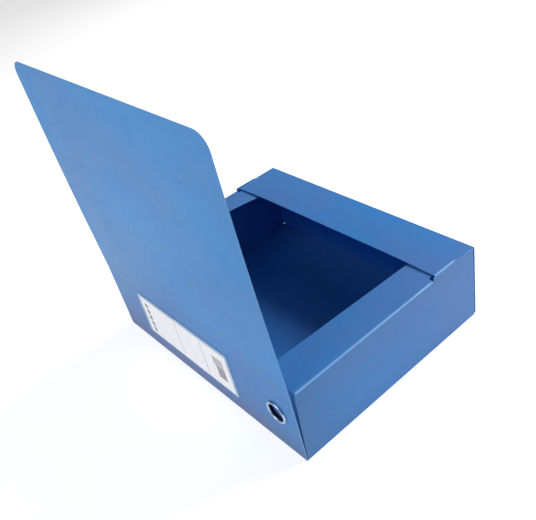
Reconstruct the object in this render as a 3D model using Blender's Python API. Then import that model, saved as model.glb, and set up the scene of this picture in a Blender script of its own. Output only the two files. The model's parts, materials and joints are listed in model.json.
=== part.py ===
"""Archival box: a document box folded from polypropylene sheet, standing open.

+X runs along the spine, +Y from the spine to the front wall, +Z up. The origin is the centre of the
footprint, at the underside of the base panel. Panels meet at creases, where a narrow gap between two
plates stands for the thinned line of a living hinge.
"""

import math

import bmesh
import bpy
from mathutils import Matrix, Vector

# The sheet and the box, metres
SHEET = 0.0012
GAP = 0.0004
LENGTH = 0.315
DEPTH = 0.262
WALL_TOP = 0.0905
HALF_LENGTH = LENGTH / 2
REAR = -DEPTH / 2
FRONT = DEPTH / 2
FLOOR_TOP = SHEET
WALL_FOOT = FLOOR_TOP + GAP
WALL_CREASE = WALL_TOP - SHEET - GAP
FRONT_RISE = SHEET + GAP
FRONT_CREASE = WALL_CREASE + FRONT_RISE
SIDE_WALL_REAR = REAR + SHEET + GAP
SIDE_WALL_FRONT = FRONT - SHEET - GAP

# Spine and cover
SPINE_HEIGHT = 0.0925
SPINE_LEAN = math.radians(2.8)
COVER_LENGTH = 0.2653
COVER_LEAN = math.radians(1.1)
COVER_CORNER_RADIUS = 0.015
CREASE_CLEARANCE = 0.0008

# Rim flaps
SIDE_FLAP_WIDTH = 0.038
FRONT_FLAP_WIDTH = 0.0616
FLAP_END_INSET = 0.0020
FLAP_CORNER_RADIUS = 0.003

# Ears, relief notches and the side flaps' tongues
NOTCH_START = 0.0635
EAR_START = 0.0645
EAR_END = 0.0965
EAR_RISE = 0.0016
NOTCH_DEPTH = 0.0015
TONGUE_END = 0.092
TONGUE_INSET = 0.0062
TONGUE_CORNER_RADIUS = 0.008

# Tabs that hold the corners together
CORNER_TAB_WIDTH = 0.083
CORNER_TAB_MARGIN = 0.003
CORNER_TAB_RADIUS = 0.006
TUCK_TAB_START = 0.0715
TUCK_TAB_END = 0.0955
TUCK_TAB_DROP = 0.030
TUCK_TAB_TAPER = 0.004
TUCK_TAB_RADIUS = 0.004

# Finger ring, in the spine's own plane
RING_X = 0.1297
RING_HEIGHT = 0.0505
RING_HOLE_RADIUS = 0.0111
RING_OUTER_RADIUS = 0.0128
RING_BORE_RADIUS = 0.01005
BARREL_WALL = 0.00065
RING_CROWN = 0.0019
RING_SEAT = 0.0003
ROLL_RADIUS = 0.0118
ROLL_THICKNESS = 0.0005
WASHER_THICKNESS = 0.0008
RING_STEPS = 48

# Label and its pocket, in the spine's own plane
CARD_LEFT = -0.0960
CARD_RIGHT = 0.0611
CARD_BOTTOM = 0.0234
CARD_TOP = 0.0789
CARD_THICKNESS = 0.0004
POCKET_BORDER = 0.0028
POCKET_CLEARANCE = 0.0006
POCKET_SEAT = 0.0003
FILM_THICKNESS = 0.0003
POCKET_DEPTH = 0.0009

ARC_STEPS = 6


def clear_scene():
    for obj in list(bpy.data.objects):
        bpy.data.objects.remove(obj, do_unlink=True)


def make_material(name, colour, roughness, metallic=0.0, alpha=1.0):
    material = bpy.data.materials.new(name)
    material.use_nodes = True
    shader = material.node_tree.nodes["Principled BSDF"]
    shader.inputs["Base Color"].default_value = (*colour, 1.0)
    shader.inputs["Roughness"].default_value = roughness
    shader.inputs["Metallic"].default_value = metallic
    shader.inputs["Alpha"].default_value = alpha
    return material


def make_crease(name, location, angle, parent=None):
    """An empty on a crease: its X axis is the hinge line that the pieces under it turn about."""
    crease = bpy.data.objects.new(name, None)
    bpy.context.collection.objects.link(crease)
    crease.parent = parent
    crease.location = location
    crease.rotation_euler = (angle, 0.0, 0.0)
    return crease


def basis(origin, along, across):
    """A frame whose X runs along the first direction and whose Y runs along the second."""
    along = Vector(along).normalized()
    across = Vector(across).normalized()
    normal = along.cross(across)
    rows = Matrix((along, across, normal)).transposed().to_4x4()
    return Matrix.Translation(Vector(origin)) @ rows


def rounded(corners):
    """An outline from (x, y, radius) corners, with each radius drawn as an arc."""
    outline = []
    count = len(corners)
    for index, (x, y, radius) in enumerate(corners):
        corner = Vector((x, y))
        if radius == 0.0:
            outline.append(corner)
            continue
        before = (Vector(corners[index - 1][:2]) - corner).normalized()
        after = (Vector(corners[(index + 1) % count][:2]) - corner).normalized()
        half_angle = before.angle(after) / 2
        centre = corner + (before + after).normalized() * (radius / math.sin(half_angle))
        start = corner + before * (radius / math.tan(half_angle)) - centre
        end = corner + after * (radius / math.tan(half_angle)) - centre
        sweep = start.angle_signed(end)
        for step in range(ARC_STEPS + 1):
            turn = Matrix.Rotation(-sweep * step / ARC_STEPS, 2)
            outline.append(centre + turn @ start)
    return outline


def add_object(name, shape, material, place, parent=None):
    """Puts a finished bmesh in the scene as one object."""
    bmesh.ops.recalc_face_normals(shape, faces=shape.faces)
    mesh = bpy.data.meshes.new(name)
    shape.to_mesh(mesh)
    shape.free()
    mesh.materials.append(material)
    obj = bpy.data.objects.new(name, mesh)
    bpy.context.collection.objects.link(obj)
    obj.parent = parent
    obj.matrix_local = place
    return obj


def plate_shape(outline, thickness):
    shape = bmesh.new()
    bottom = shape.faces.new([shape.verts.new((point[0], point[1], 0.0)) for point in outline])
    grown = bmesh.ops.extrude_face_region(shape, geom=[bottom])
    top = [item for item in grown["geom"] if isinstance(item, bmesh.types.BMVert)]
    bmesh.ops.translate(shape, verts=top, vec=(0.0, 0.0, thickness))
    return shape


def add_plate(name, outline, thickness, material, place, parent=None):
    return add_object(name, plate_shape(outline, thickness), material, place, parent)


def add_box_cutter(name, low, high, parent):
    """A hidden block that a Boolean takes away."""
    outline = [(low[0], low[1]), (high[0], low[1]), (high[0], high[1]), (low[0], high[1])]
    shape = plate_shape(outline, high[2] - low[2])
    place = Matrix.Translation((0.0, 0.0, low[2]))
    cutter = add_object(name, shape, make_material(name, (0.5, 0.5, 0.5), 0.5), place, parent)
    hide_cutter(cutter)
    return cutter


def hide_cutter(cutter):
    cutter.hide_render = True
    cutter.display_type = "WIRE"


def cut(obj, cutter):
    modifier = obj.modifiers.new("cut", "BOOLEAN")
    modifier.operation = "DIFFERENCE"
    modifier.solver = "EXACT"
    modifier.object = cutter


def add_turned(name, profile, material, place, parent=None):
    """Turns a closed (radius, height) profile about the local Z axis."""
    shape = bmesh.new()
    rings = []
    for step in range(RING_STEPS):
        angle = 2 * math.pi * step / RING_STEPS
        ring = []
        for radius, height in profile:
            ring.append(shape.verts.new((radius * math.cos(angle), radius * math.sin(angle), height)))
        rings.append(ring)
    count = len(profile)
    for step in range(RING_STEPS):
        this_ring = rings[step]
        next_ring = rings[(step + 1) % RING_STEPS]
        for index in range(count):
            following = (index + 1) % count
            corners = (this_ring[index], this_ring[following], next_ring[following], next_ring[index])
            shape.faces.new(corners)
    obj = add_object(name, shape, material, place, parent)
    obj.data.shade_smooth()
    obj.data.set_sharp_from_angle(angle=math.radians(40))
    return obj


def add_base(material):
    rear_edge = REAR + SHEET + GAP
    outline = [
        (-HALF_LENGTH, rear_edge),
        (HALF_LENGTH, rear_edge),
        (HALF_LENGTH, FRONT),
        (-HALF_LENGTH, FRONT),
    ]
    add_plate("base_panel", outline, SHEET, material, Matrix.Identity(4))


def add_front_wall(material):
    """The front wall, higher than the side walls by the sheet that its flap lies on."""
    outline = [
        (-HALF_LENGTH, WALL_FOOT),
        (HALF_LENGTH, WALL_FOOT),
        (HALF_LENGTH, FRONT_CREASE),
        (-HALF_LENGTH, FRONT_CREASE),
    ]
    place = basis((0.0, FRONT, 0.0), (1, 0, 0), (0, 0, 1))
    add_plate("front_wall", outline, SHEET, material, place)


def add_side_wall(name, outer_x, material):
    """A side wall with its ear, drawn in the YZ plane and thickened along +X from outer_x."""
    ear_top = WALL_TOP + EAR_RISE
    outline = [
        (SIDE_WALL_REAR, WALL_FOOT),
        (SIDE_WALL_FRONT, WALL_FOOT),
        (SIDE_WALL_FRONT, FRONT_CREASE),
        (EAR_END, FRONT_CREASE),
        (EAR_END, ear_top),
        (EAR_START, ear_top),
        (EAR_START, WALL_CREASE - NOTCH_DEPTH),
        (NOTCH_START, WALL_CREASE - NOTCH_DEPTH),
        (NOTCH_START, WALL_CREASE),
        (SIDE_WALL_REAR, WALL_CREASE),
    ]
    place = basis((outer_x, 0.0, 0.0), (0, 1, 0), (0, 0, 1))
    add_plate(name, outline, SHEET, material, place)


def add_side_flap(name, side, material):
    """A side wall's rim flap, with a tongue that reaches under the front flap."""
    inner = HALF_LENGTH - SIDE_FLAP_WIDTH
    rear = SIDE_WALL_REAR + GAP
    corners = [
        (side * HALF_LENGTH, rear, 0.0),
        (side * HALF_LENGTH, NOTCH_START, 0.0),
        (side * (HALF_LENGTH - TONGUE_INSET), NOTCH_START, 0.0),
        (side * (HALF_LENGTH - TONGUE_INSET), TONGUE_END, TONGUE_CORNER_RADIUS),
        (side * inner, TONGUE_END, TONGUE_CORNER_RADIUS),
        (side * inner, rear, FLAP_CORNER_RADIUS),
    ]
    place = Matrix.Translation((0.0, 0.0, WALL_TOP - SHEET))
    add_plate(name, rounded(corners), SHEET, material, place)


def add_front_flap(material):
    """The front wall's rim flap, lying on the side flaps that it holds down."""
    full_width_depth = FRONT - EAR_END - GAP
    end = HALF_LENGTH - FLAP_END_INSET
    corners = [
        (-HALF_LENGTH, 0.0, 0.0),
        (HALF_LENGTH, 0.0, 0.0),
        (HALF_LENGTH, full_width_depth, 0.0),
        (end, full_width_depth, 0.0),
        (end, FRONT_FLAP_WIDTH, FLAP_CORNER_RADIUS),
        (-end, FRONT_FLAP_WIDTH, FLAP_CORNER_RADIUS),
        (-end, full_width_depth, 0.0),
        (-HALF_LENGTH, full_width_depth, 0.0),
    ]
    place = basis((0.0, FRONT, WALL_TOP + FRONT_RISE), (1, 0, 0), (0, -1, 0))
    add_plate("front_flap", rounded(corners), SHEET, material, place)


def add_tuck_tab(name, side, material):
    """A tab from the front flap's end, hanging inside the side wall."""
    top = FRONT_CREASE
    corners = [
        (TUCK_TAB_START, top, 0.0),
        (TUCK_TAB_START + TUCK_TAB_TAPER, top - TUCK_TAB_DROP, TUCK_TAB_RADIUS),
        (TUCK_TAB_END - TUCK_TAB_TAPER, top - TUCK_TAB_DROP, TUCK_TAB_RADIUS),
        (TUCK_TAB_END, top, 0.0),
    ]
    outer = HALF_LENGTH - FLAP_END_INSET
    left_face = outer - SHEET if side > 0 else -outer
    place = basis((left_face, 0.0, 0.0), (0, 1, 0), (0, 0, 1))
    add_plate(name, rounded(corners), SHEET, material, place)


def add_corner_tab(name, side, material):
    """A side wall's end, folded along the inside of the front wall."""
    outer = HALF_LENGTH - SHEET - GAP
    inner = outer - CORNER_TAB_WIDTH
    low = WALL_FOOT + CORNER_TAB_MARGIN
    high = WALL_CREASE - CORNER_TAB_MARGIN
    corners = [
        (side * outer, low, 0.0),
        (side * inner, low, CORNER_TAB_RADIUS),
        (side * inner, high, CORNER_TAB_RADIUS),
        (side * outer, high, 0.0),
    ]
    place = basis((0.0, SIDE_WALL_FRONT, 0.0), (1, 0, 0), (0, 0, 1))
    add_plate(name, rounded(corners), SHEET, material, place)


def add_spine(material, crease):
    """The spine panel, upright under its crease, with the hole for the finger ring."""
    outline = [
        (-HALF_LENGTH, CREASE_CLEARANCE),
        (HALF_LENGTH, CREASE_CLEARANCE),
        (HALF_LENGTH, SPINE_HEIGHT - CREASE_CLEARANCE),
        (-HALF_LENGTH, SPINE_HEIGHT - CREASE_CLEARANCE),
    ]
    place = basis((0.0, SHEET / 2, 0.0), (1, 0, 0), (0, 0, 1))
    spine = add_plate("spine_panel", outline, SHEET, material, place, crease)
    drill = bmesh.new()
    bmesh.ops.create_cone(
        drill,
        cap_ends=True,
        segments=RING_STEPS,
        radius1=RING_HOLE_RADIUS,
        radius2=RING_HOLE_RADIUS,
        depth=8 * SHEET,
    )
    hole = add_object("ring_hole_cutter", drill, material, ring_place(), crease)
    hide_cutter(hole)
    cut(spine, hole)


def add_cover(material, crease):
    corners = [
        (-HALF_LENGTH, CREASE_CLEARANCE, 0.0),
        (HALF_LENGTH, CREASE_CLEARANCE, 0.0),
        (HALF_LENGTH, COVER_LENGTH, COVER_CORNER_RADIUS),
        (-HALF_LENGTH, COVER_LENGTH, COVER_CORNER_RADIUS),
    ]
    place = basis((0.0, SHEET / 2, 0.0), (1, 0, 0), (0, 0, 1))
    add_plate("cover_panel", rounded(corners), SHEET, material, place, crease)


def ring_place():
    """The ring's own frame: Z points out of the spine's outer face, which is at height zero."""
    return basis((RING_X, -SHEET / 2, RING_HEIGHT), (1, 0, 0), (0, 0, 1))


def add_finger_ring(material, crease):
    """A rolled eyelet: a crowned flange outside, a barrel through the spine, and a rolled end."""
    crown_middle = (RING_OUTER_RADIUS + RING_BORE_RADIUS) / 2
    crown_half_width = (RING_OUTER_RADIUS - RING_BORE_RADIUS) / 2
    barrel_outer = RING_BORE_RADIUS + BARREL_WALL
    roll_top = -SHEET - RING_SEAT - WASHER_THICKNESS - GAP
    roll_bottom = roll_top - ROLL_THICKNESS
    profile = []
    crown_steps = 8
    for step in range(crown_steps + 1):
        angle = math.pi * step / crown_steps
        radius = crown_middle + crown_half_width * math.cos(angle)
        height = RING_SEAT + RING_CROWN * math.sin(angle) ** 0.7
        profile.append((radius, height))
    profile.append((RING_BORE_RADIUS, roll_bottom + ROLL_THICKNESS))
    profile.append((RING_BORE_RADIUS + ROLL_THICKNESS, roll_bottom))
    profile.append((ROLL_RADIUS, roll_bottom))
    profile.append((ROLL_RADIUS, roll_top))
    profile.append((barrel_outer, roll_top))
    profile.append((barrel_outer, RING_SEAT))
    add_turned("finger_ring", profile, material, ring_place(), crease)


def add_ring_washer(material, crease):
    top = -SHEET - RING_SEAT
    bottom = top - WASHER_THICKNESS
    outer = RING_OUTER_RADIUS - GAP
    profile = [
        (outer, top),
        (RING_HOLE_RADIUS, top),
        (RING_HOLE_RADIUS, bottom),
        (outer, bottom),
    ]
    add_turned("ring_washer", profile, material, ring_place(), crease)


def add_label_pocket(material, crease):
    """A clear film welded round three sides, open at its left end and towards the spine."""
    left = CARD_LEFT - POCKET_BORDER
    right = CARD_RIGHT + POCKET_BORDER
    bottom = CARD_BOTTOM - POCKET_BORDER
    top = CARD_TOP + POCKET_BORDER
    outline = rounded([
        (left, bottom, FLAP_CORNER_RADIUS),
        (right, bottom, FLAP_CORNER_RADIUS),
        (right, top, FLAP_CORNER_RADIUS),
        (left, top, FLAP_CORNER_RADIUS),
    ])
    back = -SHEET / 2 - POCKET_SEAT
    place = basis((0.0, back, 0.0), (1, 0, 0), (0, 0, 1))
    thickness = POCKET_DEPTH + FILM_THICKNESS
    pocket = add_plate("label_pocket", outline, thickness, material, place, crease)
    low = (left - POCKET_BORDER, back - POCKET_DEPTH, CARD_BOTTOM - POCKET_CLEARANCE)
    high = (CARD_RIGHT + POCKET_CLEARANCE, back + POCKET_DEPTH, CARD_TOP + POCKET_CLEARANCE)
    cut(pocket, add_box_cutter("pocket_slot_cutter", low, high, crease))


def add_label_card(material, crease):
    outline = [
        (CARD_LEFT, CARD_BOTTOM),
        (CARD_RIGHT, CARD_BOTTOM),
        (CARD_RIGHT, CARD_TOP),
        (CARD_LEFT, CARD_TOP),
    ]
    front = -SHEET / 2 - POCKET_SEAT - POCKET_DEPTH + RING_SEAT
    place = basis((0.0, front + CARD_THICKNESS, 0.0), (1, 0, 0), (0, 0, 1))
    add_plate("label_card", outline, CARD_THICKNESS, material, place, crease)


def main():
    clear_scene()
    sheet_blue = make_material("sheet_blue", (0.085, 0.255, 0.52), 0.42)
    ring_metal = make_material("ring_metal", (0.78, 0.78, 0.80), 0.22, metallic=1.0)
    pocket_film = make_material("pocket_film", (0.85, 0.92, 0.97), 0.12, alpha=0.25)
    card_white = make_material("card_white", (0.86, 0.86, 0.90), 0.65)

    add_base(sheet_blue)
    add_front_wall(sheet_blue)
    add_side_wall("right_wall", HALF_LENGTH - SHEET, sheet_blue)
    add_side_wall("left_wall", -HALF_LENGTH, sheet_blue)
    add_front_flap(sheet_blue)
    for name, side in (("right", 1), ("left", -1)):
        add_side_flap(name + "_flap", side, sheet_blue)
        add_tuck_tab(name + "_tuck_tab", side, sheet_blue)
        add_corner_tab(name + "_corner_tab", side, sheet_blue)

    spine_foot = (0.0, REAR + SHEET / 2, SHEET / 2)
    spine_crease = make_crease("spine_crease", spine_foot, SPINE_LEAN)
    cover_foot = (0.0, 0.0, SPINE_HEIGHT)
    cover_crease = make_crease("cover_crease", cover_foot, COVER_LEAN, spine_crease)
    add_spine(sheet_blue, spine_crease)
    add_finger_ring(ring_metal, spine_crease)
    add_ring_washer(ring_metal, spine_crease)
    add_label_pocket(pocket_film, spine_crease)
    add_label_card(card_white, spine_crease)
    add_cover(sheet_blue, cover_crease)


main()
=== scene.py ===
"""Looks of the archival box: folded polypropylene sheet, finger ring, label and studio.

Every piece is built flat, as the sheet is cut, and then folded through a mapping. A flat sheet's points
are (u, v, w): u and v lie in its outer face, and w runs from 0 at that face down to -SHEET inside.
"""

import json
import math

import bmesh
import bpy
from mathutils import Matrix, Vector


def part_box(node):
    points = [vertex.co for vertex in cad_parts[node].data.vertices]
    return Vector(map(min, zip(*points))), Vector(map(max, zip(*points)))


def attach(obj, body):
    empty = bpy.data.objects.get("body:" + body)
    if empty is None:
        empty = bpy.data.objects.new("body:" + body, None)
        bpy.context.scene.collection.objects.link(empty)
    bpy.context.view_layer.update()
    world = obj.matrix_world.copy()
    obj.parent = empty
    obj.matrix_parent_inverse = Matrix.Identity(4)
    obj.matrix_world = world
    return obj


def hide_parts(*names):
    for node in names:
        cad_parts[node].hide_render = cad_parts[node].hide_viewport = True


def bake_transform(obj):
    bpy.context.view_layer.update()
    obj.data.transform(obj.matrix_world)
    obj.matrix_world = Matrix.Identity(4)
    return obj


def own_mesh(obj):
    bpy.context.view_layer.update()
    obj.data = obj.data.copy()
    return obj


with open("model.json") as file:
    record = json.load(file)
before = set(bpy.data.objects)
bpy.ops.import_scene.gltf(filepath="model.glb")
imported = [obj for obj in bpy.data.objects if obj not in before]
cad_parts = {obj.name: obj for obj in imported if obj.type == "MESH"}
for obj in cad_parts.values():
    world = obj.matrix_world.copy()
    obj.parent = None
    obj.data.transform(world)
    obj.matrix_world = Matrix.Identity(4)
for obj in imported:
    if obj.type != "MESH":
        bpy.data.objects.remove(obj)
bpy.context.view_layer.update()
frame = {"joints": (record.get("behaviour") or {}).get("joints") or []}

# The clearance between sheets, and the cover's lean beyond the spine's, length, corner radius and bow
GAP = 0.0004
COVER_LEAN = math.radians(1.1)
COVER_LENGTH = 0.2653
COVER_CORNER_RADIUS = 0.015
COVER_BOW = 0.0012

# The frame's own places, metres
BASE_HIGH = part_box("base_panel")[1]
WALL_LOW, WALL_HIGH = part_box("right_wall")
SIDE_FLAP_LOW, SIDE_FLAP_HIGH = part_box("right_flap")
FRONT_FLAP_LOW, FRONT_FLAP_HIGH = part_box("front_flap")
TUCK_LOW, TUCK_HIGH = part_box("right_tuck_tab")
CORNER_LOW, CORNER_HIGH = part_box("right_corner_tab")
JOINTS = {joint["name"]: joint for joint in frame["joints"]}
SPINE_AXIS = Vector(JOINTS["spine_hinge"]["pos_m"])
COVER_AXIS = Vector(JOINTS["cover_hinge"]["pos_m"])

HALF = BASE_HIGH.x
FRONT = BASE_HIGH.y
REAR = -FRONT
SHEET = BASE_HIGH.z
WALL_TOP = SIDE_FLAP_HIGH.z
FRONT_TOP = FRONT_FLAP_HIGH.z
FRONT_UNDER = FRONT_FLAP_LOW.z
SPINE_HEIGHT = (COVER_AXIS - SPINE_AXIS).length
SPINE_TILT = math.atan2(SPINE_AXIS.y - COVER_AXIS.y, COVER_AXIS.z - SPINE_AXIS.z)
COVER_TILT = SPINE_TILT + COVER_LEAN
SPINE_FRAME = Matrix.Translation(SPINE_AXIS) @ Matrix.Rotation(SPINE_TILT, 4, "X")
COVER_FRAME = Matrix.Translation(COVER_AXIS) @ Matrix.Rotation(COVER_TILT, 4, "X")

# Folds: outer radii, softened rims, half the cover crease's width, and how far the painted fold
# highlight reaches
BEND = 0.0015
END_BEND = 0.0013
RIM = 0.00022
COVER_STRIP = 0.0045
FOLD_HIGHLIGHT_MARGIN = 0.0007
QUARTER = math.pi / 2

# Mesh making: when two points are the same, the sharp edges' angle, and the cutting steps
SAME = 1e-6
SHARP_ANGLE = math.radians(38)
PANEL_STEP = 0.03
BEND_STEP = 0.0005
FINE_BEND_STEP = 0.0003

# Cut-outs along the side walls' tops, and how far the rim flaps have sprung up
NOTCH_START = 0.0635
EAR_START = 0.0645
EAR_END = 0.0965
EAR_RISE = 0.0030
NOTCH_DEPTH = 0.0015
TONGUE_INSET = 0.0062
FLAP_REST_RISE = 0.0003
RIGHT_FLAP_SPRING = 0.0072
LEFT_FLAP_SPRING = 0.0090
RIGHT_SPRING_REACH = 0.198
LEFT_SPRING_REACH = 0.050
FRONT_FLAP_BOW = 0.0018
FRONT_FLAP_HELD = 0.0002
FRONT_FLAP_HOLD_START = 0.095


# ---------------------------------------------------------------- sheet making

def arc_corners(corners, steps=7):
    """An outline from (x, y, radius) corners, with each radius drawn as an arc."""
    outline = []
    count = len(corners)
    for index, (x, y, radius) in enumerate(corners):
        corner = Vector((x, y))
        if radius == 0.0:
            outline.append(corner)
            continue
        before = (Vector(corners[index - 1][:2]) - corner).normalized()
        after = (Vector(corners[(index + 1) % count][:2]) - corner).normalized()
        half_angle = before.angle(after) / 2
        centre = corner + (before + after).normalized() * (radius / math.sin(half_angle))
        start = corner + before * (radius / math.tan(half_angle)) - centre
        end = corner + after * (radius / math.tan(half_angle)) - centre
        sweep = start.angle_signed(end)
        for step in range(steps + 1):
            outline.append(centre + Matrix.Rotation(-sweep * step / steps, 2) @ start)
    return outline


def spaced(start, end, step):
    """Evenly spaced values from start to end, no further apart than step."""
    count = max(1, math.ceil(abs(end - start) / step))
    return [start + (end - start) * index / count for index in range(count + 1)]


def flat_sheet(corners, u_lines, v_lines, thickness=None, seams=()):
    """A closed flat sheet with that outline and softened rims, cut along the given lines.

    A rim that lies on a seam, given as ("u" or "v", value), stays square and meets the next sheet flush.
    """
    thickness = thickness or SHEET
    outline = arc_corners(corners)
    shape = bmesh.new()
    face = shape.faces.new([shape.verts.new((p[0], p[1], 0.0)) for p in outline])
    grown = bmesh.ops.extrude_face_region(shape, geom=[face])
    low = [item for item in grown["geom"] if isinstance(item, bmesh.types.BMVert)]
    bmesh.ops.translate(shape, verts=low, vec=(0.0, 0.0, -thickness))
    bmesh.ops.recalc_face_normals(shape, faces=shape.faces)
    rims = [edge for edge in shape.edges if is_free_rim(edge, seams)]
    bmesh.ops.bevel(shape, geom=rims, offset=RIM, segments=2, profile=0.5, affect="EDGES")
    for axis, lines in ((0, u_lines), (1, v_lines)):
        normal = Vector((1.0, 0.0, 0.0)) if axis == 0 else Vector((0.0, 1.0, 0.0))
        for line in lines:
            everything = list(shape.verts) + list(shape.edges) + list(shape.faces)
            bmesh.ops.bisect_plane(
                shape, geom=everything, dist=SAME, plane_co=normal * line, plane_no=normal
            )
    return shape


def is_free_rim(edge, seams):
    """Whether an edge of the plate runs round a face and isn't on one of the seams."""
    first, second = edge.verts[0].co, edge.verts[1].co
    if abs(first.z - second.z) > SAME:
        return False
    for axis, value in seams:
        index = "uv".index(axis)
        if abs(first[index] - value) < SAME and abs(second[index] - value) < SAME:
            return False
    return True


def bend(distance, depth, radius, angle):
    """Where a point of a bent sheet lies: (along, out) from where the bend starts.

    The sheet runs along and then turns by angle away from its outer face, whose radius is given.
    """
    if distance <= 0.0:
        return distance, -depth
    turned = min(distance / radius, angle)
    beyond = max(0.0, distance - radius * angle)
    along = (radius - depth) * math.sin(turned) + beyond * math.cos(angle)
    out = (radius - depth) * math.cos(turned) - radius - beyond * math.sin(angle)
    return along, out


def make_piece(name, shape, mapping, material, body, nodes=(), highlight_and_weld=None, painted_shade=None):
    """Folds a flat sheet, gives it its material and lets it ride on its body.

    The first mark function gives each flat point's share of painted highlight, which on the film is its
    milky weld instead; the second gives its share of painted shade.
    """
    rim_layer = shape.faces.layers.float.new("rim")
    for face in shape.faces:
        heights = [vert.co.z for vert in face.verts]
        face[rim_layer] = 1.0 if max(heights) - min(heights) > SAME else 0.0
    # Per-vertex shares of painted highlight (the film's milky weld instead) and of painted shade
    highlight_and_weld_layer = shape.verts.layers.float.new("highlight_and_weld")
    painted_shade_layer = shape.verts.layers.float.new("painted_shade")
    for vert in shape.verts:
        vert[highlight_and_weld_layer] = highlight_and_weld(vert.co.x, vert.co.y, vert.co.z) if highlight_and_weld else 0.0
        vert[painted_shade_layer] = painted_shade(vert.co.x, vert.co.y, vert.co.z) if painted_shade else 0.0
        vert.co = mapping(vert.co.x, vert.co.y, vert.co.z)
    bmesh.ops.recalc_face_normals(shape, faces=shape.faces)
    mesh = bpy.data.meshes.new(name)
    shape.to_mesh(mesh)
    shape.free()
    mesh.shade_smooth()
    mesh.set_sharp_from_angle(angle=SHARP_ANGLE)
    mesh.materials.append(material)
    piece = bpy.data.objects.new(name, mesh)
    bpy.context.scene.collection.objects.link(piece)
    keep_flat = piece.modifiers.new("keep_flat", "WEIGHTED_NORMAL")
    keep_flat.keep_sharp = True
    if body:
        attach(piece, body)
    if nodes:
        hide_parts(*nodes)
    return piece


# ------------------------------------------------------------------- materials

# The sheet's dust, its painted shade tints low on the box and at the shaded marks, its painted highlight
# tint, and the painted shade in the ring's bore
DUST = (0.45, 0.62, 0.85)
# Painted shade tint for all below the cover
LOW_PAINTED_SHADE_TINT = (1.35, 0.87, 0.91)
# Painted shade tint for the spine's foot and the walls beside the spine
PAINTED_SHADE_TINT = (1.60, 0.62, 0.54)
# Painted highlight tint for folds and rims
PAINTED_HIGHLIGHT_TINT = (0.26, 0.55, 0.92)
# Painted shade in the ring's bore
BORE_PAINTED_SHADE = (0.02, 0.05, 0.13)


def node(tree, kind, **inputs):
    """A new node with those input values. An underscore stands for a space in an input's name."""
    made = tree.nodes.new(kind)
    for name, value in inputs.items():
        made.inputs[name.replace("_", " ")].default_value = value
    return made


def new_material(name):
    """A new material, its node tree, its shader and the object coordinates."""
    material = bpy.data.materials.new(name)
    material.use_nodes = True
    tree = material.node_tree
    place = tree.nodes.new("ShaderNodeTexCoord").outputs["Object"]
    return material, tree, tree.nodes["Principled BSDF"], place


def noise(tree, place, scale, detail, roughness, distortion=0.0):
    """Cloudy noise over a place, from 0 to 1."""
    made = node(
        tree, "ShaderNodeTexNoise",
        Scale=scale, Detail=detail, Roughness=roughness, Distortion=distortion,
    )
    tree.links.new(place, made.inputs["Vector"])
    return made.outputs["Fac"]


def attribute(tree, name):
    """The value that make_piece wrote on the mesh under that name."""
    made = tree.nodes.new("ShaderNodeAttribute")
    made.attribute_name = name
    return made.outputs["Fac"]


def remap(tree, value, from_range, to_range):
    """A value carried from one range to another, and held at its ends."""
    made = node(
        tree, "ShaderNodeMapRange",
        From_Min=from_range[0], From_Max=from_range[1], To_Min=to_range[0], To_Max=to_range[1],
    )
    tree.links.new(value, made.inputs["Value"])
    return made.outputs["Result"]


def ramp(tree, value, low, low_colour, high, high_colour):
    """A colour that runs from one to the other as the value goes from low to high."""
    made = tree.nodes.new("ShaderNodeValToRGB")
    first, last = made.color_ramp.elements
    first.position = low
    first.color = (*low_colour, 1.0)
    last.position = high
    last.color = (*high_colour, 1.0)
    tree.links.new(value, made.inputs["Fac"])
    return made.outputs["Color"]


def calculate(tree, operation, first, second):
    """A sum on two values, each of them a socket or a number."""
    made = tree.nodes.new("ShaderNodeMath")
    made.operation = operation
    for socket, value in zip(made.inputs, (first, second)):
        if isinstance(value, float):
            socket.default_value = value
        else:
            tree.links.new(value, socket)
    return made.outputs["Value"]


def mix_colour(tree, share, under, over, way="MIX"):
    """The colour under with a plain colour laid over it by that share."""
    made = tree.nodes.new("ShaderNodeMix")
    made.data_type = "RGBA"
    made.blend_type = way
    made.inputs["B"].default_value = (*over, 1.0)
    tree.links.new(share, made.inputs["Factor"])
    tree.links.new(under, made.inputs["A"])
    return made.outputs["Result"]


def bump(tree, height, strength, distance, normal=None):
    """A normal that rises with a height, over another normal where one is given."""
    made = node(tree, "ShaderNodeBump", Strength=strength, Distance=distance)
    tree.links.new(height, made.inputs["Height"])
    if normal is not None:
        tree.links.new(normal, made.inputs["Normal"])
    return made.outputs["Normal"]


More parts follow.
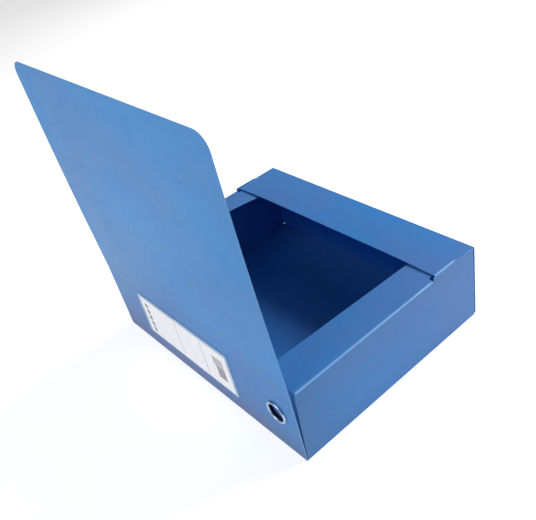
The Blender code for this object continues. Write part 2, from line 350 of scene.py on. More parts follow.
def sheet_colour(tree, place, colour, scuffs):
    """Faint clouding and dust, painted shade that greys all below the cover and darkens the marked
    places, and a painted highlight at folds and rims.
    """
    red, green, blue = colour
    clouds = noise(tree, place, 9.0, 4.0, 0.55)
    cloudy = ramp(
        tree, clouds,
        0.30, (red * 1.7, green * 0.93, blue * 0.92),
        0.72, (red * 0.8, green * 1.05, blue * 1.06),
    )
    specks = remap(tree, noise(tree, place, 420.0, 3.0, 0.6), (0.60, 0.78), (0.0, 0.10))
    dusty = mix_colour(tree, specks, cloudy, DUST)

    # Painted shade: everything below the cover greyed and darkened
    height = tree.nodes.new("ShaderNodeSeparateXYZ")
    tree.links.new(place, height.inputs["Vector"])
    low_shade_share = remap(tree, height.outputs["Z"], (WALL_TOP + 0.002, WALL_TOP + 0.035), (1.0, 0.0))
    low_shaded = mix_colour(tree, low_shade_share, dusty, LOW_PAINTED_SHADE_TINT, "MULTIPLY")
    # Painted shade: darker where the marks lie
    shaded = mix_colour(tree, attribute(tree, "painted_shade"), low_shaded, PAINTED_SHADE_TINT, "MULTIPLY")

    # Painted highlight: the sheet whitened along folds and rims, made ragged by the scuffs
    rim_highlight_share = calculate(tree, "MULTIPLY", attribute(tree, "rim"), 0.35)
    painted_highlight = calculate(tree, "MAXIMUM", attribute(tree, "highlight_and_weld"), rim_highlight_share)
    ragged = remap(tree, scuffs, (0.30, 0.70), (0.70, 1.0))
    painted_highlight_share = calculate(tree, "MULTIPLY", painted_highlight, ragged)
    return mix_colour(tree, painted_highlight_share, shaded, PAINTED_HIGHLIGHT_TINT)


def sheet_material(name, colour, roughness):
    """Extruded polypropylene: a fine sand grain over slow waves."""
    material, tree, shader, place = new_material(name)
    link = tree.links.new
    scuffs = noise(tree, place, 38.0, 6.0, 0.7, 1.2)
    rough = remap(tree, scuffs, (0.25, 0.75), (roughness - 0.05, roughness + 0.07))
    waves = bump(tree, noise(tree, place, 14.0, 1.0, 0.4), 0.35, 0.0012)
    grain = bump(tree, noise(tree, place, 1500.0, 2.0, 0.6), 0.22, 0.00012, waves)
    link(sheet_colour(tree, place, colour, scuffs), shader.inputs["Base Color"])
    link(rough, shader.inputs["Roughness"])
    link(grain, shader.inputs["Normal"])
    shader.inputs["IOR"].default_value = 1.49
    shader.inputs["Specular IOR Level"].default_value = 0.22
    shader.inputs["Subsurface Weight"].default_value = 0.06
    shader.inputs["Subsurface Radius"].default_value = (0.3, 0.7, 1.0)
    shader.inputs["Subsurface Scale"].default_value = 0.0012
    return material


def metal_material(name, colour, roughness):
    """Nickel plate with faint tarnish and fine brushing, and painted shade down its bore."""
    material, tree, shader, place = new_material(name)
    link = tree.links.new
    tarnish = noise(tree, place, 260.0, 5.0, 0.6)
    tarnished = [share * 0.82 for share in colour]
    plate = ramp(tree, tarnish, 0.32, tarnished, 0.62, colour)
    rough = remap(tree, tarnish, (0.3, 0.7), (roughness - 0.06, roughness + 0.10))
    brushing = bump(tree, noise(tree, place, 2600.0, 2.0, 0.5), 0.10, 0.00005)
    # Painted shade down the bore
    link(mix_colour(tree, attribute(tree, "painted_shade"), plate, BORE_PAINTED_SHADE), shader.inputs["Base Color"])
    link(rough, shader.inputs["Roughness"])
    link(brushing, shader.inputs["Normal"])
    shader.inputs["Metallic"].default_value = 1.0
    return material


def film_material(name):
    """Clear PVC film with shallow ripples: see-through, and milky where it's welded down."""
    material, tree, shader, place = new_material(name)
    link = tree.links.new
    ripples = noise(tree, place, 45.0, 3.0, 0.5)
    tint = ramp(tree, ripples, 0.0, (0.60, 0.80, 1.00), 1.0, (0.72, 0.88, 1.00))
    link(tint, shader.inputs["Base Color"])
    link(remap(tree, ripples, (0.3, 0.7), (0.16, 0.30)), shader.inputs["Roughness"])
    link(bump(tree, ripples, 0.25, 0.0004), shader.inputs["Normal"])
    link(remap(tree, attribute(tree, "highlight_and_weld"), (0.0, 1.0), (0.05, 0.66)), shader.inputs["Alpha"])
    return material


SHEET_BLUE = sheet_material("sheet_blue", (0.028, 0.222, 0.545), 0.42)
RING_METAL = metal_material("ring_metal", (0.44, 0.56, 0.70), 0.34)
POCKET_FILM = film_material("pocket_film")


# ---------------------------------------------------------------- box panels

def near(value, line, reach):
    """1 on a line, falling to 0 at that reach from it."""
    return max(0.0, 1.0 - abs(value - line) / reach)


def along_fold(value, start, end):
    """1 on a fold, falling to 0 a little to each side of it."""
    beyond = max(start - value, value - end, 0.0)
    return max(0.0, 1.0 - beyond / FOLD_HIGHLIGHT_MARGIN)


def make_base():
    """The floor panel, turned up at its sides and front, with relief cuts at its front corners."""
    flat_x = HALF - BEND
    flat_y = FRONT - BEND
    lip = BEND * QUARTER
    edge_x = flat_x + lip
    edge_y = flat_y + lip
    rear = REAR + BEND
    relief = 0.0006
    corners = [
        (-edge_x, rear, 0.0),
        (edge_x, rear, 0.0),
        (edge_x, flat_y - relief, 0.0),
        (flat_x - relief, flat_y - relief, 0.0),
        (flat_x - relief, edge_y, 0.0),
        (-flat_x + relief, edge_y, 0.0),
        (-flat_x + relief, flat_y - relief, 0.0),
        (-edge_x, flat_y - relief, 0.0),
    ]
    bends = spaced(0.0, lip, BEND_STEP)
    right_bends = [flat_x + distance for distance in bends]
    left_bends = [-flat_x - distance for distance in bends]
    front_bends = [flat_y + distance for distance in bends]
    u_lines = spaced(-flat_x, flat_x, PANEL_STEP) + right_bends + left_bends
    v_lines = spaced(rear, flat_y, PANEL_STEP) + front_bends
    seams = [("u", edge_x), ("u", -edge_x), ("v", edge_y), ("v", rear)]
    shape = flat_sheet(corners, u_lines, v_lines, seams=seams)

    def fold(u, v, w):
        depth = -w
        side = 1.0 if u > 0 else -1.0
        if abs(u) > flat_x:
            along, out = bend(abs(u) - flat_x, depth, BEND, QUARTER)
            return Vector((side * (flat_x + along), v, -out))
        if v > flat_y:
            along, out = bend(v - flat_y, depth, BEND, QUARTER)
            return Vector((u, flat_y + along, -out))
        return Vector((u, v, depth))

    # Painted highlight along the turned-up bends
    def highlight_and_weld(u, v, w):
        return 0.3 * max(near(abs(u), flat_x + lip / 2, lip / 2), near(v, flat_y + lip / 2, lip / 2))

    make_piece("base_sheet", shape, fold, SHEET_BLUE, "box", ["base_panel"], highlight_and_weld)


def make_front_wall():
    """The far wall, which stands one sheet higher than the side walls."""
    seam = FRONT_TOP - BEND
    corners = [
        (-HALF, BEND, 0.0),
        (HALF, BEND, 0.0),
        (HALF, seam, 0.0),
        (-HALF, seam, 0.0),
    ]
    u_lines = spaced(-HALF, HALF, PANEL_STEP)
    v_lines = spaced(BEND, seam, PANEL_STEP)
    shape = flat_sheet(corners, u_lines, v_lines, seams=[("v", BEND), ("v", seam)])

    def fold(u, v, w):
        return Vector((u, FRONT + w, v))

    make_piece("front_wall_sheet", shape, fold, SHEET_BLUE, "box", ["front_wall"])


def make_side_wall(name, side):
    """A side wall: notched by its ear, and turned round the front corner to meet its corner tab."""
    rear = WALL_LOW.y
    flat_y = WALL_HIGH.y - BEND
    lip = BEND * QUARTER
    seam = WALL_TOP - BEND
    under_flap = FRONT_UNDER - GAP
    notch_floor = seam - NOTCH_DEPTH
    corners = [
        (rear, BEND, 0.0),
        (flat_y + lip, BEND, 0.0),
        (flat_y + lip, under_flap, 0.0),
        (EAR_START, under_flap, 0.0),
        (EAR_START, notch_floor, 0.0),
        (NOTCH_START, notch_floor, 0.0),
        (NOTCH_START, seam, 0.0),
        (rear, seam, 0.0),
    ]
    bends = [flat_y + distance for distance in spaced(0.0, lip, BEND_STEP)]
    u_lines = spaced(rear, flat_y, PANEL_STEP) + bends
    v_lines = spaced(BEND, seam, PANEL_STEP) + [seam - FOLD_HIGHLIGHT_MARGIN]
    seams = [("v", BEND), ("v", seam), ("u", flat_y + lip)]
    shape = flat_sheet(corners, u_lines, v_lines, seams=seams)

    def fold(u, v, w):
        along, out = bend(u - flat_y, -w, BEND, QUARTER)
        return Vector((side * (HALF + out), flat_y + along, v))

    # Painted highlight round the front corner and along the top fold
    def highlight_and_weld(u, v, w):
        corner_highlight = 0.45 * near(u, flat_y + lip / 2, lip / 2)
        if u > NOTCH_START + SAME:
            return corner_highlight
        return max(corner_highlight, 0.5 * along_fold(v, seam, under_flap))

    def painted_shade(u, v, w):
        """Painted shade on the outer face, darkest beside the spine."""
        return 0.42 * math.exp((rear - u) / 0.045) if w > -SHEET / 2 else 0.0

    make_piece(name + "_wall_sheet", shape, fold, SHEET_BLUE, "box", [name + "_wall"],
               highlight_and_weld, painted_shade)


def make_ear(name, side):
    """The short upright ear beside the front flap's end."""
    foot = FRONT_UNDER - GAP
    top = WALL_TOP + EAR_RISE
    slope = 0.0004
    radius = 0.0008
    corners = [
        (EAR_START, foot, 0.0),
        (EAR_END, foot, 0.0),
        (EAR_END, top - slope, radius),
        (EAR_START, top, radius),
    ]
    shape = flat_sheet(corners, [], [], seams=[("v", foot)])

    def fold(u, v, w):
        return Vector((side * (HALF + w), u, v))

    ear = make_piece(name + "_ear", shape, fold, SHEET_BLUE, "box")
    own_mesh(ear)


def side_flap_rise(side, y):
    """How far a side flap's free edge has sprung up, which grows away from the front flap's hold."""
    free = max(0.0, FRONT_FLAP_LOW.y - y)
    if side > 0:
        return FLAP_REST_RISE + RIGHT_FLAP_SPRING * free / RIGHT_SPRING_REACH
    return FLAP_REST_RISE + LEFT_FLAP_SPRING * (1.0 - math.exp(-free / LEFT_SPRING_REACH))


def make_side_flap(name, side):
    """A side wall's rim flap, sprung up at its free end, with its tongue under the front flap."""
    width = SIDE_FLAP_HIGH.x - SIDE_FLAP_LOW.x
    rear = SIDE_FLAP_LOW.y
    tongue_end = SIDE_FLAP_HIGH.y
    arc = BEND * QUARTER
    reach = width - BEND + arc
    tongue_start = TONGUE_INSET - BEND + arc
    tongue_radius = 0.008
    free_radius = 0.004
    corners = [
        (0.0, rear + 0.0012, 0.0),
        (0.0, NOTCH_START, 0.0),
        (tongue_start, NOTCH_START, 0.0008),
        (tongue_start, tongue_end, tongue_radius),
        (reach, tongue_end, tongue_radius),
        (reach, rear, free_radius),
        (arc + 0.001, rear, 0.0015),
    ]
    u_lines = spaced(0.0, arc, FINE_BEND_STEP) + [arc + FOLD_HIGHLIGHT_MARGIN] + spaced(arc, reach, 0.009)
    v_lines = spaced(rear, NOTCH_START, 0.012) + spaced(NOTCH_START, tongue_end, 0.006)
    shape = flat_sheet(corners, u_lines, v_lines, seams=[("u", 0.0)])

    def fold(u, v, w):
        spring = math.asin(side_flap_rise(side, v) / width)
        along, out = bend(u, -w, BEND, QUARTER - spring)
        return Vector((side * (HALF + out), v, WALL_TOP - BEND + along))

    # Painted highlight along the fold's crest
    def highlight_and_weld(u, v, w):
        return near(u, 0.4 * arc, 0.0018)

    flap = make_piece(name + "_flap_sheet", shape, fold, SHEET_BLUE, "box",
                      [name + "_flap"], highlight_and_weld)
    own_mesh(flap)


def make_front_flap():
    """The front wall's rim flap: bowed up in the middle, held down where its ends tuck in."""
    arc = BEND * QUARTER
    depth_y = FRONT - FRONT_FLAP_LOW.y
    reach = depth_y - BEND + arc
    end = TUCK_HIGH.x
    end_flat = end - END_BEND
    end_cut = end_flat + END_BEND * QUARTER
    full = FRONT - EAR_END - GAP - BEND + arc
    seam = FRONT_TOP - BEND
    corners = [
        (-HALF, 0.0, 0.0),
        (HALF, 0.0, 0.0),
        (HALF, full, 0.0),
        (end_cut, full, 0.0),
        (end_cut, reach, 0.0015),
        (-end_cut, reach, 0.0015),
        (-end_cut, full, 0.0),
        (-HALF, full, 0.0),
    ]
    ends = [end_flat - FOLD_HIGHLIGHT_MARGIN] + spaced(end_flat, end_cut, FINE_BEND_STEP)
    u_lines = spaced(-end_flat, end_flat, 0.012) + ends + [-value for value in ends]
    v_lines = spaced(0.0, arc, FINE_BEND_STEP) + spaced(arc, reach, 0.0075)
    seams = [("v", 0.0), ("u", end_cut), ("u", -end_cut)]
    shape = flat_sheet(corners, u_lines, v_lines, seams=seams)

    def rise(u):
        """The bow along the flap's free edge, which eases down to its held ends."""
        held = max(0.0, abs(u) - FRONT_FLAP_HOLD_START) / (HALF - FRONT_FLAP_HOLD_START)
        ease = held * held * (3.0 - 2.0 * held)
        return FRONT_FLAP_BOW - (FRONT_FLAP_BOW - FRONT_FLAP_HELD) * ease

    def fold(u, v, w):
        depth = -w
        side = 1.0 if u > 0 else -1.0
        x = u
        sink = 0.0
        if v > full and abs(u) > end_flat:
            along, out = bend(abs(u) - end_flat, depth, END_BEND, QUARTER)
            x = side * (end_flat + along)
            sink = -out - depth
        tilt = math.asin(rise(u) / depth_y)
        along, out = bend(v, depth, BEND, QUARTER - tilt)
        return Vector((x, FRONT + out, seam + along - sink))

    # Painted highlight along the front crease and the tucked end folds
    def highlight_and_weld(u, v, w):
        tucked = along_fold(abs(u), end_flat, end_cut) if v > full else 0.0
        return max(0.4 * near(v, arc / 2, arc / 2), tucked)

    flap = make_piece("front_flap_sheet", shape, fold, SHEET_BLUE, "box",
                      ["front_flap"], highlight_and_weld)
    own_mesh(flap)


def make_tuck_tab(name, side):
    """The front flap's end, turned down inside the side wall."""
    top = FRONT_TOP - END_BEND
    low = TUCK_LOW.z
    taper = 0.004
    radius = 0.004
    corners = [
        (TUCK_LOW.y, top, 0.0),
        (TUCK_LOW.y + taper, low, radius),
        (TUCK_HIGH.y - taper, low, radius),
        (TUCK_HIGH.y, top, 0.0),
    ]
    shape = flat_sheet(corners, [], spaced(low, top, 0.01), seams=[("v", top)])

    def fold(u, v, w):
        return Vector((side * (TUCK_HIGH.x + w), u, v))

    make_piece(name + "_tuck_sheet", shape, fold, SHEET_BLUE, "box", [name + "_tuck_tab"])


def make_corner_tab(name, side):
    """The side wall's end, folded along the inside of the front wall."""
    outer = HALF - BEND
    radius = 0.006
    corners = [
        (outer, CORNER_LOW.z, 0.0),
        (CORNER_LOW.x, CORNER_LOW.z, radius),
        (CORNER_LOW.x, CORNER_HIGH.z, radius),
        (outer, CORNER_HIGH.z, 0.0),
    ]
    shape = flat_sheet(corners, spaced(CORNER_LOW.x, outer, 0.02), [], seams=[("u", outer)])

    def fold(u, v, w):
        return Vector((side * u, CORNER_HIGH.y + w, v))

    make_piece(name + "_corner_sheet", shape, fold, SHEET_BLUE, "box",
               [name + "_corner_tab"])


make_base()
make_front_wall()
make_front_flap()
for side_name, side_sign in (("right", 1), ("left", -1)):
    make_side_wall(side_name, side_sign)
    make_ear(side_name, side_sign)
    make_side_flap(side_name, side_sign)
    make_tuck_tab(side_name, side_sign)
    make_corner_tab(side_name, side_sign)


# ------------------------------------------------------------ spine and cover

def in_frame(place, u, v, w):
    """A point of a sheet that stands in a panel's own frame: u along X, v up, w from its outer face."""
    return place @ Vector((u, -SHEET / 2 - w, v))


def cut_hole(piece, radius, place):
    """Drills a round hole through a piece, square to the frame's outer face."""
    segments = 96
    depth = 0.02
    drill_shape = bmesh.new()
    bmesh.ops.create_cone(drill_shape, cap_ends=True, segments=segments, radius1=radius,
                          radius2=radius, depth=depth)
    drill_mesh = bpy.data.meshes.new("drill")
    drill_shape.to_mesh(drill_mesh)
    drill_shape.free()
    drill = bpy.data.objects.new("drill", drill_mesh)
    bpy.context.scene.collection.objects.link(drill)
    drill.matrix_world = place
    modifier = piece.modifiers.new("hole", "BOOLEAN")
    modifier.operation = "DIFFERENCE"
    modifier.solver = "EXACT"
    modifier.object = drill
    bpy.context.view_layer.update()
    graph = bpy.context.evaluated_depsgraph_get()
    drilled = bpy.data.meshes.new_from_object(piece.evaluated_get(graph))
    piece.modifiers.clear()
    drilled.shade_smooth()
    drilled.set_sharp_from_angle(angle=SHARP_ANGLE)
    piece.data = drilled
    piece.modifiers.new("keep_flat", "WEIGHTED_NORMAL").keep_sharp = True
    bpy.data.objects.remove(drill)


RING_LOW, RING_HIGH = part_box("finger_ring")
RING_CENTRE = (RING_LOW + RING_HIGH) / 2
RING_RADIUS = (RING_HIGH.x - RING_LOW.x) / 2
RING_BORE = 0.01005
RING_HOLE = 0.0111
RING_HEIGHT = (SPINE_FRAME.inverted() @ RING_CENTRE).z
RING_PLACE = Matrix.Translation((RING_CENTRE.x, -SHEET / 2, RING_HEIGHT))
RING_FRAME = SPINE_FRAME @ RING_PLACE @ Matrix.Rotation(QUARTER, 4, "X")


def foot_painted_shade(u, v, w):
    """Painted shade on the spine's outer face, darkest at its foot and fading out upward."""
    return math.exp(-v / 0.020) if w > -SHEET / 2 else 0.0


def make_spine():
    """The spine panel between its two creases, with the finger ring's hole."""
    foot = BEND
    top = SPINE_HEIGHT - COVER_STRIP
    corners = [(-HALF, foot, 0.0), (HALF, foot, 0.0), (HALF, top, 0.0), (-HALF, top, 0.0)]
    u_lines = spaced(-HALF, HALF, PANEL_STEP)
    v_lines = spaced(foot, top, 0.005)
    shape = flat_sheet(corners, u_lines, v_lines, seams=[("v", foot), ("v", top)])

    def fold(u, v, w):
        return in_frame(SPINE_FRAME, u, v, w)

    spine = make_piece("spine_sheet", shape, fold, SHEET_BLUE, "spine", ["spine_panel"],
                       painted_shade=foot_painted_shade)
    cut_hole(spine, RING_HOLE, RING_FRAME)


def make_cover():
    """The cover panel, bowed very slightly, with two rounded free corners."""
    foot = COVER_STRIP
    step = 0.02
    corners = [
        (-HALF, foot, 0.0),
        (HALF, foot, 0.0),
        (HALF, COVER_LENGTH, COVER_CORNER_RADIUS),
        (-HALF, COVER_LENGTH, COVER_CORNER_RADIUS),
    ]
    u_lines = spaced(-HALF, HALF, step)
    v_lines = spaced(foot, COVER_LENGTH, step)
    shape = flat_sheet(corners, u_lines, v_lines, seams=[("v", foot)])

    def fold(u, v, w):
        share = (v - foot) / (COVER_LENGTH - foot)
        bow = COVER_BOW * math.sin(math.pi * share)
        return in_frame(COVER_FRAME, u, v, w + bow)

    make_piece("cover_sheet", shape, fold, SHEET_BLUE, "cover", ["cover_panel"])


def make_foot_crease():
    """The living hinge between the base and the spine."""
    lip = BEND * QUARTER
    corners = [(-HALF, 0.0, 0.0), (HALF, 0.0, 0.0), (HALF, lip, 0.0), (-HALF, lip, 0.0)]
    u_lines = spaced(-HALF, HALF, PANEL_STEP)
    v_lines = spaced(0.0, lip, FINE_BEND_STEP)
    shape = flat_sheet(corners, u_lines, v_lines, seams=[("v", 0.0), ("v", lip)])
    turn = QUARTER - SPINE_TILT

    def fold(u, v, w):
        along, out = bend(v * turn / QUARTER, -w, BEND, turn)
        return Vector((u, REAR + BEND - along, -out))

    # Painted highlight along the foot crease
    def highlight_and_weld(u, v, w):
        return 0.3 * near(v, lip / 2, lip / 2)

    strip = make_piece("foot_crease", shape, fold, SHEET_BLUE, None, highlight_and_weld=highlight_and_weld,
                       painted_shade=foot_painted_shade)
    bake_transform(strip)


def make_cover_crease():
    """The living hinge between the spine and the cover, pressed thinner along its middle."""
    span = COVER_STRIP
    pressed_share = 0.45
    pressed_reach = 0.0009
    corners = [(-HALF, -span, 0.0), (HALF, -span, 0.0), (HALF, span, 0.0), (-HALF, span, 0.0)]
    u_lines = spaced(-HALF, HALF, PANEL_STEP)
    v_lines = spaced(-span, span, BEND_STEP)
    shape = flat_sheet(corners, u_lines, v_lines, seams=[("v", -span), ("v", span)])
    middle = (SPINE_TILT + COVER_TILT) / 2

    def fold(u, v, w):
        tilt = middle + (COVER_TILT - SPINE_TILT) / 2 * (v / span)
        place = Matrix.Translation(COVER_AXIS) @ Matrix.Rotation(tilt, 4, "X")
        pressed = pressed_share * math.exp(-(v / pressed_reach) ** 2)
        if w < -SHEET / 2:
            w = -SHEET / 2 + (w + SHEET / 2) * (1.0 - pressed)
        return in_frame(place, u, v, w)

    # A faint painted highlight along the cover crease
    def highlight_and_weld(u, v, w):
        return 0.12 * near(v, 0.0, 0.002)

    strip = make_piece("cover_crease", shape, fold, SHEET_BLUE, None, highlight_and_weld=highlight_and_weld)
    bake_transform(strip)


make_spine()
make_cover()
make_foot_crease()
make_cover_crease()


# ---------------------------------------------------------------- finger ring

# The eyelet's section: its seat, crown, barrel, washer and the end rolled over the washer
RING_SEAT = 0.0002
RING_CROWN = 0.0020
BARREL_WALL = 0.0006
WASHER_THICKNESS = 0.0008
ROLL = 0.0005
ROLL_REACH = 0.0118
BORE_MARGIN = 0.0001
TURN_STEPS = 128


def turned(name, profile, node_name, painted_shade=None):
    """Turns a closed (radius, height) profile about the ring's own axis."""
    shape = bmesh.new()
    rings = []
    for step in range(TURN_STEPS):
        angle = 2.0 * math.pi * step / TURN_STEPS
        ring = []
        for radius, height in profile:
            point = Vector((radius * math.cos(angle), radius * math.sin(angle), height))
            ring.append(shape.verts.new(RING_FRAME @ point))
        rings.append(ring)
    count = len(profile)
    for step in range(TURN_STEPS):
        this_ring = rings[step]
        next_ring = rings[(step + 1) % TURN_STEPS]
        for index in range(count):
            other = (index + 1) % count
            shape.faces.new((this_ring[index], this_ring[other], next_ring[other], next_ring[index]))

    def stay(x, y, z):
        return Vector((x, y, z))

    make_piece(name, shape, stay, RING_METAL, "spine", [node_name], painted_shade=painted_shade)


def ring_profile():
    """A rolled eyelet's section: crowned flange, lip, barrel, and the end rolled over the washer."""
    middle = (RING_RADIUS + RING_BORE) / 2
    half = (RING_RADIUS - RING_BORE) / 2
    barrel_outer = RING_BORE + BARREL_WALL
    end = -SHEET - RING_SEAT - WASHER_THICKNESS - RING_SEAT
    crown_steps = 18
    roll_steps = 6
    roll_round = 0.0004
    roll_inset = 0.0002
    points = []
    for step in range(crown_steps + 1):
        angle = math.pi * step / crown_steps
        height = RING_SEAT + RING_CROWN * math.sin(angle) ** 0.75
        points.append((middle + half * math.cos(angle), height))
    points.append((RING_BORE, end))
    for step in range(1, roll_steps + 1):
        angle = math.pi + QUARTER * step / roll_steps
        points.append((RING_BORE + ROLL + ROLL * math.cos(angle), end + ROLL * math.sin(angle)))
    points.append((ROLL_REACH - roll_round, end - ROLL))
    points.append((ROLL_REACH, end - ROLL / 2))
    points.append((ROLL_REACH - roll_inset, end))
    points.append((barrel_outer, end))
    points.append((barrel_outer, RING_SEAT))
    return points


def bore_painted_shade(x, y, z):
    """1 down inside the ring's barrel, where painted shade darkens the plate."""
    place = RING_FRAME.inverted() @ Vector((x, y, z))
    is_below_flange = place.z < RING_SEAT + BORE_MARGIN
    return 1.0 if is_below_flange and math.hypot(place.x, place.y) < RING_HOLE else 0.0


def make_ring():
    """The eyelet and the washer that its end is rolled over."""
    turned("finger_ring_metal", ring_profile(), "finger_ring", bore_painted_shade)
    top = -SHEET - RING_SEAT
    low = top - WASHER_THICKNESS
    outer = RING_RADIUS - GAP
    edge = 0.00015
    washer = [
        (outer - edge, top), (RING_HOLE + edge, top), (RING_HOLE, top - edge), (RING_HOLE, low + edge),
        (RING_HOLE + edge, low), (outer - edge, low), (outer, low + edge), (outer, top - edge),
    ]
    turned("ring_washer_metal", washer, "ring_washer")


make_ring()


# ---------------------------------------------------------------------- label

CARD_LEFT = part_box("label_card")[0].x
CARD_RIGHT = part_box("label_card")[1].x
CARD_LOW = (SPINE_FRAME.inverted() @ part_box("label_card")[0]).z
CARD_TOP = (SPINE_FRAME.inverted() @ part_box("label_card")[1]).z


def between(tree, value, low, high):
    """1 where the value lies between two numbers, else 0."""
    above = calculate(tree, "GREATER_THAN", value, low)
    below = calculate(tree, "LESS_THAN", value, high)
    return calculate(tree, "MULTIPLY", above, below)


def card_print():
    """The card's plain rules and blocks, as (low x, high x, low z, high z) and an ink."""
    lilac = (0.46, 0.38, 0.45)
    brown = (0.24, 0.20, 0.21)
    half_rule = 0.0005
    mark_height = 0.0062
    mark_step = 0.0092
    printed = []
    for rule_x in (-0.0285, 0.0175):
        printed.append(((rule_x - half_rule, rule_x + half_rule, 0.0270, 0.0755), lilac))
    for index in range(5):
        low_z = 0.0290 + mark_step * index
        printed.append(((-0.0885, -0.0825, low_z, low_z + mark_height), brown))
    printed.append(((0.0355, 0.0525, 0.0545, 0.0680), (0.56, 0.51, 0.51)))
    printed.append(((0.0385, 0.0525, 0.0370, 0.0545), (0.34, 0.30, 0.32)))
    return printed


def card_material(name):
    """Card stock in a pale warm white, printed with plain rules and blocks and no lettering."""
    material, tree, shader, place = new_material(name)
    link = tree.links.new
    split = tree.nodes.new("ShaderNodeSeparateXYZ")
    link(place, split.inputs["Vector"])
    fibre = noise(tree, place, 900.0, 4.0, 0.7)
    colour = ramp(tree, fibre, 0.3, (0.99, 0.935, 0.955), 0.7, (1.00, 0.965, 0.98))
    for (low_x, high_x, low_z, high_z), ink in card_print():
        across = between(tree, split.outputs["X"], low_x, high_x)
        up = between(tree, split.outputs["Z"], low_z, high_z)
        colour = mix_colour(tree, calculate(tree, "MULTIPLY", across, up), colour, ink)
    link(colour, shader.inputs["Base Color"])
    link(bump(tree, fibre, 0.15, 0.00008), shader.inputs["Normal"])
    shader.inputs["Roughness"].default_value = 0.6
    return material


def make_card():
    """The printed card that stands in the pocket."""
    depth = 0.0004
    face = 0.0009
    radius = 0.0008
    corners = [
        (CARD_LEFT, CARD_LOW, radius),
        (CARD_RIGHT, CARD_LOW, radius),
        (CARD_RIGHT, CARD_TOP, radius),
        (CARD_LEFT, CARD_TOP, radius),
    ]
    shape = flat_sheet(corners, spaced(CARD_LEFT, CARD_RIGHT, 0.02), [], depth)

    def lay(u, v, w):
        return in_frame(SPINE_FRAME, u, v, face + w)

    card = card_material("card_white")
    make_piece("label_card_print", shape, lay, card, "label", ["label_card"])


def make_pocket():
    """The clear pocket, welded down at its bottom, top and right edges and open at its left."""
    pocket_low, pocket_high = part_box("label_pocket")
    left, right = pocket_low.x, pocket_high.x
    border = CARD_LEFT - left
    low = CARD_LOW - border
    high = CARD_TOP + border
    radius = 0.003
    film = 0.0003
    welded_face = 0.0005
    lift_height = 0.0009
    seal = 0.0020
    slope = 0.0008
    lip_slope = 0.0002
    corners = [
        (left, low, radius),
        (right, low, radius),
        (right, high, radius),
        (left, high, radius),
    ]
    u_lines = spaced(left, right, 0.01)
    u_lines += [left + seal, left + seal + lip_slope, right - seal, right - seal - slope]
    v_lines = spaced(low, high, 0.01)
    v_lines += [low + seal, low + seal + slope, high - seal, high - seal - slope]
    shape = flat_sheet(corners, u_lines, v_lines, film)

    def lay(u, v, w):
        """The film dips to the spine at its welded edges."""
        edge = min(right - u, v - low, high - v)
        lift = min(1.0, max(0.0, (edge - seal) / slope))
        return in_frame(SPINE_FRAME, u, v, welded_face + lift_height * lift + w)

    def weld(u, v, w):
        """1 on the welded border and at the open end's folded lip."""
        edge = min(u - left, right - u, v - low, high - v)
        return 1.0 if edge < seal + 0.0001 else 0.0

    make_piece("label_pocket_film", shape, lay, POCKET_FILM, "spine",
               ["label_pocket"], weld)


make_card()
make_pocket()


# --------------------------------------------------------------------- studio

FLOOR_REACH = 3.0
FLOOR_DROP = 0.0002

# Each light's name, place, target, size and power
LIGHTS = [
    ("key", (0.05, -1.25, 1.30), (0.0, -0.1, 0.30), 1.0, 14.5),
    ("back", (0.30, 1.28, 1.00), (0.0, 0.0, 0.09), 1.0, 31.0),
    ("sheen", (-1.30, 0.90, 0.75), (0.0, 0.0, 0.09), 0.8, 1.0),
]

# The photograph's view: from the ring's end of the spine, above, and tilted to one side
IMAGE_WIDTH = 536
SENSOR_WIDTH = 36.0
FOCAL_PIXELS = 704.6
CAMERA_PLACE = (0.51590, -0.37049, 0.55183)
CAMERA_AZIMUTH = math.radians(57.88)
CAMERA_ELEVATION = math.radians(33.40)
CAMERA_ROLL = math.radians(-13.64)
CAMERA_SHIFT = (0.0543, -0.0482)


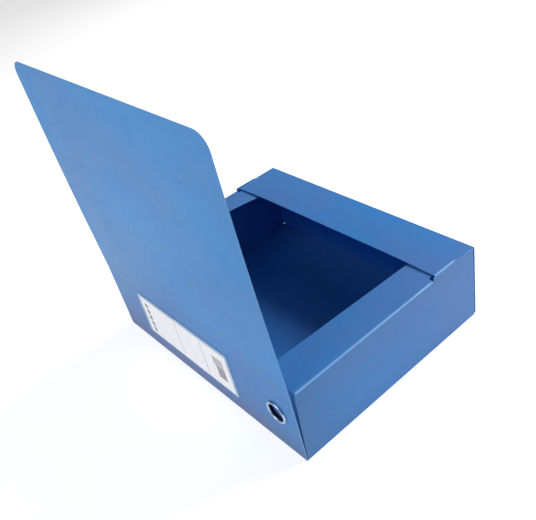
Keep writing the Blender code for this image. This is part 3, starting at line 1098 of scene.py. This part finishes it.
def make_floor():
    """A wide, flat, plain floor, a little self-lit so that it stays pale."""
    shape = bmesh.new()
    reach = FLOOR_REACH
    corners = [(-reach, -reach), (reach, -reach), (reach, reach), (-reach, reach)]
    shape.faces.new([shape.verts.new((x, y, -FLOOR_DROP)) for x, y in corners])
    mesh = bpy.data.meshes.new("studio_floor")
    shape.to_mesh(mesh)
    shape.free()
    floor = bpy.data.objects.new("studio_floor", mesh)
    bpy.context.scene.collection.objects.link(floor)
    material = bpy.data.materials.new("studio_floor")
    material.use_nodes = True
    shader = material.node_tree.nodes["Principled BSDF"]
    shader.inputs["Base Color"].default_value = (0.92, 0.92, 0.92, 1.0)
    shader.inputs["Roughness"].default_value = 0.8
    shader.inputs["Specular IOR Level"].default_value = 0.1
    shader.inputs["Emission Color"].default_value = (1.0, 1.0, 1.0, 1.0)
    shader.inputs["Emission Strength"].default_value = 0.52
    mesh.materials.append(material)


def add_area_light(name, location, target, size, power):
    """A square white light, aimed at its target."""
    data = bpy.data.lights.new(name, "AREA")
    data.shape = "SQUARE"
    data.size = size
    data.energy = power
    light = bpy.data.objects.new(name, data)
    bpy.context.scene.collection.objects.link(light)
    light.location = location
    aim = Vector(target) - Vector(location)
    light.rotation_euler = aim.to_track_quat("-Z", "Y").to_euler()


def set_world(strength):
    """An even white surround."""
    world = bpy.data.worlds.new("studio")
    world.use_nodes = True
    world.node_tree.nodes["Background"].inputs["Color"].default_value = (1.0, 1.0, 1.0, 1.0)
    world.node_tree.nodes["Background"].inputs["Strength"].default_value = strength
    bpy.context.scene.world = world


def add_camera():
    """The camera, placed and turned to match the photograph."""
    data = bpy.data.cameras.new("view")
    data.sensor_fit = "HORIZONTAL"
    data.sensor_width = SENSOR_WIDTH
    data.lens = FOCAL_PIXELS * SENSOR_WIDTH / IMAGE_WIDTH
    data.shift_x, data.shift_y = CAMERA_SHIFT
    data.clip_start = 0.01
    camera = bpy.data.objects.new("view", data)
    bpy.context.scene.collection.objects.link(camera)
    camera.location = CAMERA_PLACE
    forward = Vector((
        -math.sin(CAMERA_AZIMUTH) * math.cos(CAMERA_ELEVATION),
        math.cos(CAMERA_AZIMUTH) * math.cos(CAMERA_ELEVATION),
        -math.sin(CAMERA_ELEVATION),
    ))
    level = forward.to_track_quat("-Z", "Y").to_matrix()
    camera.rotation_euler = (level @ Matrix.Rotation(CAMERA_ROLL, 3, "Z")).to_euler()
    bpy.context.scene.camera = camera


make_floor()
set_world(0.10)
for light in LIGHTS:
    add_area_light(*light)
add_camera()
bpy.context.scene.view_settings.view_transform = "Standard"
